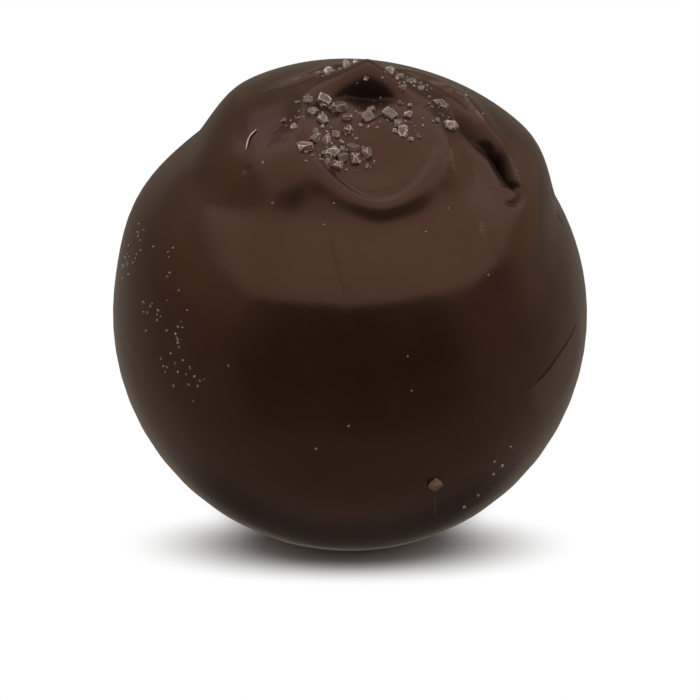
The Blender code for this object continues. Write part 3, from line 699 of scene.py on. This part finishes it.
# The salt: coarse crystals pressed into the top while the chocolate was soft, thickest at the left of the
# dish. Each lies rather flat. It has broken corners, bright rubbed edges, and faces that sink a little
# between.
# u, v, size and milkiness of the crystals that show singly
SALT_GRAINS = [
    (-1.73, 2.3, 0.55, 0.0), (-1.18, 2.32, 0.75, 0.0), (-0.19, 2.64, 0.75, 0.28), (0.3, 3.61, 0.55, 0.0),
    (-1.48, -0.06, 1.1, 0.28), (-0.67, -0.72, 1.1, 0.0), (-0.13, -1.54, 0.8, 0.0), (-2.35, -0.48, 0.7, 0.0),
    (-2.12, -1.25, 0.7, 0.0), (-1.52, -2.03, 0.75, 0.0), (-3.71, -1.63, 0.4, 0.0), (-3.04, -2.63, 0.5, 0.0),
    (-1.9, -3.0, 0.4, 0.0), (0.97, -1.36, 0.9, 0.28), (-0.08, -2.5, 0.75, 0.0), (-0.8, -2.95, 0.55, 0.0),
    (-1.88, -3.56, 0.85, 0.0), (-1.34, -3.55, 0.6, 0.0), (-2.44, -4.27, 1.1, 0.28), (-1.34, -4.54, 0.8, 0.0),
    (-0.9, -4.23, 0.75, 0.0), (-0.46, -4.53, 0.8, 0.0), (-0.74, -5.13, 0.85, 0.0), (-1.28, -5.02, 0.4, 0.28),
    (0.14, -3.75, 0.85, 0.0), (1.01, -4.08, 0.85, 0.28), (0.3, -4.46, 0.8, 0.28), (1.01, -4.91, 0.35, 0.0),
    (0.85, 0.84, 0.35, 0.0), (1.23, -0.56, 0.5, 0.0), (2.14, 2.01, 0.6, 0.0), (2.74, 1.96, 0.5, 0.0),
    (3.51, 2.03, 0.55, 0.0), (3.94, 1.49, 0.4, 0.0), (2.87, 0.71, 0.65, 0.28), (2.86, -0.02, 0.45, 0.28),
    (2.26, -1.11, 1.0, 0.0), (3.35, -0.26, 0.4, 0.0), (3.28, -1.02, 0.65, 0.0), (2.73, -1.85, 0.65, 0.0),
    (3.05, -2.42, 0.85, 0.28), (2.57, -2.45, 0.4, 0.0), (3.49, -2.93, 0.35, 0.0), (3.87, -2.67, 0.4, 0.0),
    (4.88, 0.7, 0.45, 0.28), (5.29, 0.83, 0.75, 0.0), (5.6, -1.3, 0.75, 0.28), (5.85, -1.0, 0.7, 0.28),
    (5.75, -1.2, 0.95, 0.0), (4.95, -1.15, 0.4, 0.0),
]
# u, v, spread, number, smallest and largest size of the small grains between them
SALT_SMALL = [
    (-1.3, -4.2, 0.8, 26, 0.12, 0.34), (-0.4, -3.2, 0.8, 20, 0.12, 0.34), (-2.0, -1.0, 0.7, 18, 0.12, 0.34),
    (1.0, -1.6, 0.5, 12, 0.1, 0.26), (3.0, -1.6, 0.8, 18, 0.1, 0.28), (2.8, 1.8, 0.7, 14, 0.12, 0.3),
    (-1.0, 2.5, 0.5, 12, 0.1, 0.26), (5.3, -0.5, 0.6, 12, 0.1, 0.26), (4.5, 2.2, 0.9, 14, 0.1, 0.26),
    (0.6, -4.5, 0.6, 8, 0.1, 0.24), (-3.2, -2.2, 0.6, 8, 0.1, 0.2), (1.0, 0.6, 0.7, 6, 0.1, 0.2),
]
SALT_SEED = 7
SALT_SUNK = 0.1
SALT_TILT = 0.34
SALT_SHARES = ((0.66, 0.48, 0.28), (0.92, 0.8, 0.56))
SALT_CUT_CORNERS = 3
SALT_CORNER_CUT = (1.5, 2.4)
SALT_WEAR = 40.0
SALT_FACE_SINK = 0.07
SALT_EDGE = (0.74, 0.2)
SALT_STRAY = 1.4
SALT_SMALL_MILK = 0.5
SALT_RIM = (0.5, 1.0)
LEAST_MEETING = 1e-6
# how many points each grain has round it, and how many rows from its top to its bottom
COARSE_GRID = (48, 26)
SMALL_GRID = (14, 8)
DUST_GRID = (10, 6)

# colours and surfaces of the clear salt and of its frosted edges, and how much of it is clouded and frosted
CLEAR_COLOUR = (0.95, 0.82, 0.73, 1.0)
CLEAR_ROUGHNESS = 0.12
FROST_COLOUR = (0.9, 0.76, 0.68, 1.0)
FROST_ROUGHNESS = 0.4
SALT_REFRACTION = 1.54
CLOUD_SIZE = 0.6
CLOUD_SHARE = 0.24
FROST_SHARE = 0.78
FROST_LIMITS = (0.3, 1.0)


def ball_grid(round_count, down_count):
    """Directions over a sphere, a grid of longitude by latitude, and its faces with closed seam and poles."""
    longitude = np.linspace(0.0, 2.0 * np.pi, round_count, endpoint=False)
    latitude = np.linspace(0.0, np.pi, down_count + 1)[1:-1]
    down, across = (values.ravel() for values in np.meshgrid(latitude, longitude, indexing="ij"))
    ways = np.column_stack([np.sin(down) * np.cos(across), np.sin(down) * np.sin(across), np.cos(down)])
    ways = np.vstack([ways, [[0, 0, 1], [0, 0, -1]]])
    top = len(ways) - 2
    bottom = len(ways) - 1
    index = np.arange(len(ways) - 2).reshape(-1, round_count)
    after = np.roll(index, -1, axis=1)
    faces = np.stack([index[:-1], index[1:], after[1:], after[:-1]], axis=-1).reshape(-1, 4).tolist()
    faces += [[top, int(a), int(b)] for a, b in zip(index[0], after[0])]
    faces += [[bottom, int(b), int(a)] for a, b in zip(index[-1], after[-1])]
    return ways, faces


def crystal(ways, half, draw):
    """A box with broken corners. Along each direction its surface is where the first flat side is met, a
    soft minimum over the sides: (sum of (way . side)^wear)^(-1/wear). The second result is how near each
    point is to an edge, where two sides are met almost together, and between the edges the faces sink."""
    corners = np.array([(i, j, k) for i in (-1, 1) for j in (-1, 1) for k in (-1, 1)], float)
    cut = draw.choice(len(corners), SALT_CUT_CORNERS, replace=False)
    depths = draw.uniform(*SALT_CORNER_CUT, size=SALT_CUT_CORNERS)
    sides = np.vstack([np.eye(3), -np.eye(3), corners[cut] / depths[:, None]]) / half
    met = np.maximum(ways @ sides.T, LEAST_MEETING)
    nearest_two = np.sort(met, axis=1)[:, -2:]
    first, width = SALT_EDGE
    edge = smooth_step((nearest_two[:, 0] / nearest_two[:, 1] - first) / width)
    reach = np.sum(met**SALT_WEAR, axis=1) ** (-1.0 / SALT_WEAR)
    return ways * (reach * (1.0 - SALT_FACE_SINK * (1.0 - edge)))[:, None], edge


def strewn(patches, draw):
    """u, v, size and milkiness of grains strewn over patches, thickest in the middle of each."""
    rows = []
    for middle_u, middle_v, spread, count, smallest, largest in patches:
        stray = spread * np.clip(draw.normal(size=(count, 2)), -SALT_STRAY, SALT_STRAY)
        milk = SALT_SMALL_MILK * draw.uniform(size=count)
        sizes = draw.uniform(smallest, largest, count)
        rows.append(np.column_stack([np.array([middle_u, middle_v]) + stray, sizes, milk]))
    return np.vstack(rows)


def crystals(name, grains, grid, finish):
    """One piece of crystals at the (u, v) of the grains, each with its flat side along the chocolate, tilted
    and turned at random, and sunk into it a little."""
    ways, faces = ball_grid(*grid)
    draw = np.random.default_rng(SALT_SEED)
    rims = np.random.default_rng(SALT_SEED + 1).uniform(*SALT_RIM, size=len(grains))
    grounds = surface(grains[:, 0], grains[:, 1])
    points = []
    edges = []
    all_faces = []
    for ground, size, milk, rim in zip(grounds, grains[:, 2], grains[:, 3], rims):
        tall = unit(ground - np.array([0.0, 0.0, CENTRE_HEIGHT]))
        tall = unit(tall + SALT_TILT * draw.normal(size=3))
        side = unit(np.cross(tall, draw.normal(size=3)))
        half = 0.5 * size * draw.uniform(*SALT_SHARES)
        grain, edge = crystal(ways, half, draw)
        first = len(points) * len(ways)
        all_faces += [[first + corner for corner in face] for face in faces]
        points.append(ground + SALT_SUNK * size * tall + grain @ np.array([side, np.cross(tall, side), tall]))
        edges.append(np.maximum(edge * rim, milk))
    made = piece(name, np.vstack(points), all_faces, finish)
    mark_points(made, "edge", np.concatenate(edges))


def salt_finish():
    """Salt: glassy inside, faintly rosy, and frosted along the rubbed edges, which the edge attribute gives.
    """
    recipe = Recipe(bpy.data.materials.new("salt"))
    clear = recipe.shader({
        "Base Color": CLEAR_COLOUR,
        "Roughness": CLEAR_ROUGHNESS,
        "IOR": SALT_REFRACTION,
        "Transmission Weight": 1.0,
    })
    frosted = recipe.shader({
        "Base Color": FROST_COLOUR,
        "Roughness": FROST_ROUGHNESS,
        "IOR": SALT_REFRACTION,
    })
    cloud = recipe.noise(CLOUD_SIZE, detail=2.0)
    frost = recipe.mask(recipe.attribute("edge"), *FROST_LIMITS)
    return recipe.finish(recipe.mixed(CLOUD_SHARE * cloud + FROST_SHARE * frost, clear, frosted))


salt_look = salt_finish()
small_grains = strewn(SALT_SMALL, np.random.default_rng(SALT_SEED))
crystals("coarse_salt", np.array(SALT_GRAINS), COARSE_GRID, salt_look)
crystals("small_salt", small_grains, SMALL_GRID, salt_look)

# The salt's dust: specks of the same salt that stuck to the soft coating lower down, most of them on the left
# side. They are tiny crystals, sunk in like the coarse ones.
# u, v and size of the specks that show singly
DUST = [
    (-4.64, -6.99, 0.2), (-0.93, -7.54, 0.17), (5.99, -6.94, 0.21), (4.72, -8.71, 0.2),
    (-1.61, -8.69, 0.17), (9.15, -10.12, 0.17), (4.15, -16.25, 0.17), (4.73, -18.28, 0.17),
    (-0.12, -20.84, 0.21), (-3.0, -22.31, 0.21), (15.24, -20.86, 0.25), (16.85, -20.67, 0.22),
    (16.27, -21.71, 0.25), (16.42, -19.14, 0.22), (16.02, -23.96, 0.25), (15.17, -25.58, 0.25),
    (-9.23, -15.79, 0.2), (-4.9, -4.6, 0.2), (6.71, 2.54, 0.25), (7.75, 1.18, 0.2),
]
DUST_MILK = 0.4
# u, v, spread, number, smallest and largest size of the specks in patches
DUST_PATCHES = [
    (-15.5, -3.1, 1.2, 14, 0.12, 0.22), (-17.3, -3.3, 0.8, 8, 0.12, 0.22),
    (-13.5, -6.5, 1.2, 6, 0.12, 0.22), (-15.2, -9.0, 0.9, 10, 0.14, 0.26),
    (-12.6, -11.2, 1.1, 10, 0.14, 0.26), (-14.2, -13.5, 1.0, 16, 0.14, 0.28),
    (-12.6, -16.0, 0.8, 6, 0.14, 0.24),
]
single_specks = np.column_stack([np.array(DUST), np.full(len(DUST), DUST_MILK)])
patch_specks = strewn(DUST_PATCHES, np.random.default_rng(SALT_SEED))
crystals("salt_dust", np.vstack([single_specks, patch_specks]), DUST_GRID, salt_look)

# A curved sliver of salt, frosted all over. It lies stuck to the coating on the swirl's left side.
# The line is u and v of its ends and middle. Its grid is points round it and rows along it.
SLIVER = [(-5.31, -1.83), (-5.8, -2.32), (-5.99, -3.09)]
SLIVER_STEPS = 40
SLIVER_THICKNESS = 0.09
SLIVER_RAISED = 0.5
SLIVER_GRID = (16, 24)


def sliver_points(ways):
    """A ball drawn out along the line: a point's height on the ball gives its place along the line, and its
    way to the side keeps it round the line at the thickness."""
    line = spline(SLIVER, SLIVER_STEPS)
    along = np.round((1.0 - ways[:, 2]) * 0.5 * (len(line) - 1)).astype(int)
    places = line[along] + SLIVER_THICKNESS * ways[:, :2]
    points = surface(*places.T)
    points[:, 2] += SLIVER_THICKNESS * ways[:, 0] + SLIVER_RAISED * SLIVER_THICKNESS
    return points


sliver_ways, sliver_faces = ball_grid(*SLIVER_GRID)
sliver = piece("salt_sliver", sliver_points(sliver_ways), sliver_faces, salt_look)
mark_points(sliver, "edge", np.ones(len(sliver_ways)))

# A crumb of paler chocolate. It is dry and matte, and stuck low on the front while the coating set.
# u, v, size and milkiness, then its two colours, how cloudy and how rough it is
CRUMB = [(8.88, -24.36, 0.95, 0.0)]
CRUMB_DARK = (0.16, 0.09, 0.055, 1.0)
CRUMB_PALE = (0.34, 0.22, 0.15, 1.0)
CRUMB_CLOUD_SIZE = 0.25
CRUMB_ROUGHNESS = 0.6
CRUMB_RELIEF = 0.1


def crumb_finish():
    """Crumbly pale brown chocolate: matte and cloudy."""
    recipe = Recipe(bpy.data.materials.new("chocolate crumb"))
    cloud = recipe.noise(CRUMB_CLOUD_SIZE)
    return recipe.finish(recipe.shader({
        "Base Color": recipe.blend(cloud, CRUMB_DARK, CRUMB_PALE),
        "Roughness": CRUMB_ROUGHNESS,
        "Normal": recipe.bump(cloud, CRUMB_RELIEF),
    }))


crystals("crumb", np.array(CRUMB), COARSE_GRID, crumb_finish())

# The pale floor that it stands on, wide enough to fill the view. On a disc round the foot and an oval before
# it the floor is a darker grey, painted shade that deepens the real shadow there; beyond them it glows plain
# white, so no shadow shows.
# Lengths here are metres: where the disc and the oval end and where they are full, the oval's middle, and the
# share that its length is squeezed by
FLOOR_HALF = 1.5
DISC_FADE = (0.0105, 0.006)
OVAL_MIDDLE = (0.0, -0.0073, 0.0)
OVAL_SQUEEZE = 0.27
OVAL_FADE = (0.0041, 0.0014)
FLOOR_PAINTED_SHADE = (0.6, 0.6, 0.6, 1.0)
FLOOR_ROUGHNESS = 0.9
BLACK = (0.0, 0.0, 0.0, 1.0)
WHITE = (1.0, 1.0, 1.0, 1.0)


def floor():
    """A flat square. It takes the real shadow, deepened by painted shade on the disc and the oval, glows
    plain white beyond them, and is kept out of the chocolate's reflections and of the light that bounces to
    it."""
    corners = FLOOR_HALF * np.array([(-1, -1, 0), (1, -1, 0), (1, 1, 0), (-1, 1, 0)], float)
    mesh = bpy.data.meshes.new("floor")
    mesh.from_pydata(corners.tolist(), [], [(0, 1, 2, 3)])
    recipe = Recipe(bpy.data.materials.new("pale floor"))
    squeezed = recipe.vector("MULTIPLY", recipe.place(), (OVAL_SQUEEZE, 1.0, 1.0))
    oval_away = recipe.vector("DISTANCE", squeezed, OVAL_MIDDLE, out="Value")
    disc = recipe.mask(recipe.distance((0.0, 0.0, 0.0)), *DISC_FADE)
    oval = recipe.mask(oval_away, *OVAL_FADE)
    plain = (1.0 - disc) * (1.0 - oval)
    mesh.materials.append(recipe.finish(recipe.shader({
        # darker grey as painted shade on the disc and the oval, and a white glow beyond them
        "Base Color": recipe.blend(plain, FLOOR_PAINTED_SHADE, BLACK),
        "Roughness": FLOOR_ROUGHNESS,
        "Specular IOR Level": 0.0,
        "Emission Color": recipe.blend(plain, BLACK, WHITE),
        "Emission Strength": 1.0,
    })))
    made = bpy.data.objects.new("floor", mesh)
    made.visible_diffuse = False
    made.visible_glossy = False
    bpy.context.scene.collection.objects.link(made)
    return made


floor()

# The light: one wide soft panel overhead, and a smaller, dimmer one just above its front part, both facing
# down. The two may not lie in one plane, as the second then adds nothing.
# middle from the ball's middle, length and depth, all in metres, and the brightness of the surface
BALL_MIDDLE = Vector((0.0, 0.0, CENTRE_HEIGHT * MM))
OVERHEAD_PANEL = ((0.12, 0.065, 0.35), (1.56, 0.91), 0.75)
FRONT_PANEL = ((0.33, -0.22, 0.355), (1.06, 0.34), 0.15)


def panel(name, middle, size, brightness):
    """A rectangular area light that faces straight down, as area lights do when they aren't turned."""
    light = bpy.data.lights.new(name, "AREA")
    light.shape = "RECTANGLE"
    light.size, light.size_y = size
    light.energy = brightness * np.pi * size[0] * size[1]
    made = bpy.data.objects.new(name, light)
    made.location = BALL_MIDDLE + Vector(middle)
    bpy.context.scene.collection.objects.link(made)


panel("overhead panel", *OVERHEAD_PANEL)
panel("front of the panel", *FRONT_PANEL)

# The room round it, seen only in the chocolate and the salt: a pale table below, dim walls at the sides and
# back, and darkness at the front. The camera sees plain white.
TABLE_BRIGHTNESS = 0.29
WALL_BRIGHTNESS = 0.24
FRONT_BRIGHTNESS = 0.03
TABLE_NEAR_SHADE = 0.14
TABLE_FAR_SHADE = 0.07
TABLE_UNDER_SHADE = 0.2
RIGHT_GLOW = 0.36
LEFT_GLOW = 0.34
# Where each part of the room begins and where it is full. The numbers are shares of a direction of length 1:
# to the right in SIDE, to the back in BACK, and upward in HEIGHT.
FRONT_BACK = (-0.42, -0.72)
CEILING_HEIGHT = (0.25, 0.48)
RIGHT_SIDE = (0.45, 0.8)
RIGHT_BACK = (-0.1, 0.25)
RIGHT_HEIGHT = (-0.2, 0.08)
LEFT_SIDE = (-0.5, -0.95)
LEFT_HEIGHT = (0.0, 0.36)
TABLE_HEIGHT = (0.06, -0.10)
TABLE_FAR_BACK = (0.6, 0.95)
TABLE_FAR_HEIGHT = (-0.62, -0.42)
TABLE_UNDER_BACK = (-0.3, 0.1)
TABLE_UNDER_HEIGHT = (-0.75, -0.9)
TABLE_NEAR_HEIGHT = (-0.52, -0.22)
WALL_TINT = (1.0, 0.72, 0.5, 1.0)
TABLE_TINT = (1.0, 0.84, 0.68, 1.0)


def surroundings():
    """The world's brightness by direction, mixed with white for what the camera sees of it."""
    world = bpy.data.worlds.new("studio")
    bpy.context.scene.world = world
    recipe = Recipe(world)
    way = recipe.node("ShaderNodeTexCoord", out="Generated")
    side, back, above = (recipe.node("ShaderNodeSeparateXYZ", None, {0: way}, out=axis) for axis in "XYZ")
    front = recipe.mask(back, *FRONT_BACK)
    ceiling = recipe.mask(above, *CEILING_HEIGHT)
    right = RIGHT_GLOW * recipe.mask(side, *RIGHT_SIDE) * recipe.mask(back, *RIGHT_BACK)
    left = LEFT_GLOW * recipe.mask(side, *LEFT_SIDE)
    right = right * (recipe.mask(above, *RIGHT_HEIGHT) - ceiling)
    left = left * (recipe.mask(above, *LEFT_HEIGHT) - ceiling)
    glow = right + left
    walls = WALL_BRIGHTNESS + (FRONT_BRIGHTNESS - WALL_BRIGHTNESS) * front + glow
    below = recipe.mask(above, *TABLE_HEIGHT)
    far = recipe.mask(back, *TABLE_FAR_BACK) * recipe.mask(above, *TABLE_FAR_HEIGHT)
    under = recipe.mask(back, *TABLE_UNDER_BACK) * recipe.mask(above, *TABLE_UNDER_HEIGHT)
    near = front * recipe.mask(above, *TABLE_NEAR_HEIGHT)
    table = TABLE_BRIGHTNESS - TABLE_NEAR_SHADE * near - TABLE_FAR_SHADE * far - TABLE_UNDER_SHADE * under
    room = walls + (table - walls + glow) * below
    seen = recipe.node("ShaderNodeLightPath", out="Is Camera Ray")
    strength = room + (1.0 - room) * seen
    tint = recipe.blend(seen, recipe.blend(below, WALL_TINT, TABLE_TINT), WHITE)
    background = recipe.node("ShaderNodeBackground", None, {"Color": tint, "Strength": strength})
    recipe.node("ShaderNodeOutputWorld", None, {"Surface": background})


surroundings()

# The camera: level across, and looking down at the praline, which lies a little above the picture's middle.
# Pixels give only a ratio here: how far the ball's middle is above the picture's, over the ball's radius.
CAMERA_ELEVATION = np.radians(37.0)
CAMERA_DISTANCE = 0.175
CAMERA_LENS = 141.7
CAMERA_SENSOR = 36.0
CAMERA_NEAREST = 0.01
PIXELS_ABOVE_MIDDLE = 36.0
PIXELS_OF_RADIUS = 237.0
MIDDLE_ABOVE = PIXELS_ABOVE_MIDDLE / PIXELS_OF_RADIUS * BALL_RADIUS * MM

towards_camera = Vector((0.0, -np.cos(CAMERA_ELEVATION), np.sin(CAMERA_ELEVATION)))
camera_up = Vector((0.0, np.sin(CAMERA_ELEVATION), np.cos(CAMERA_ELEVATION)))
camera = bpy.data.objects.new("camera", bpy.data.cameras.new("camera"))
camera.data.sensor_width = CAMERA_SENSOR
camera.data.lens = CAMERA_LENS
camera.data.clip_start = CAMERA_NEAREST
camera.location = BALL_MIDDLE + towards_camera * CAMERA_DISTANCE - camera_up * MIDDLE_ABOVE
camera.rotation_euler = (-towards_camera).to_track_quat("-Z", "Y").to_euler()
bpy.context.scene.collection.objects.link(camera)
bpy.context.scene.camera = camera
bpy.context.scene.view_settings.view_transform = "Standard"
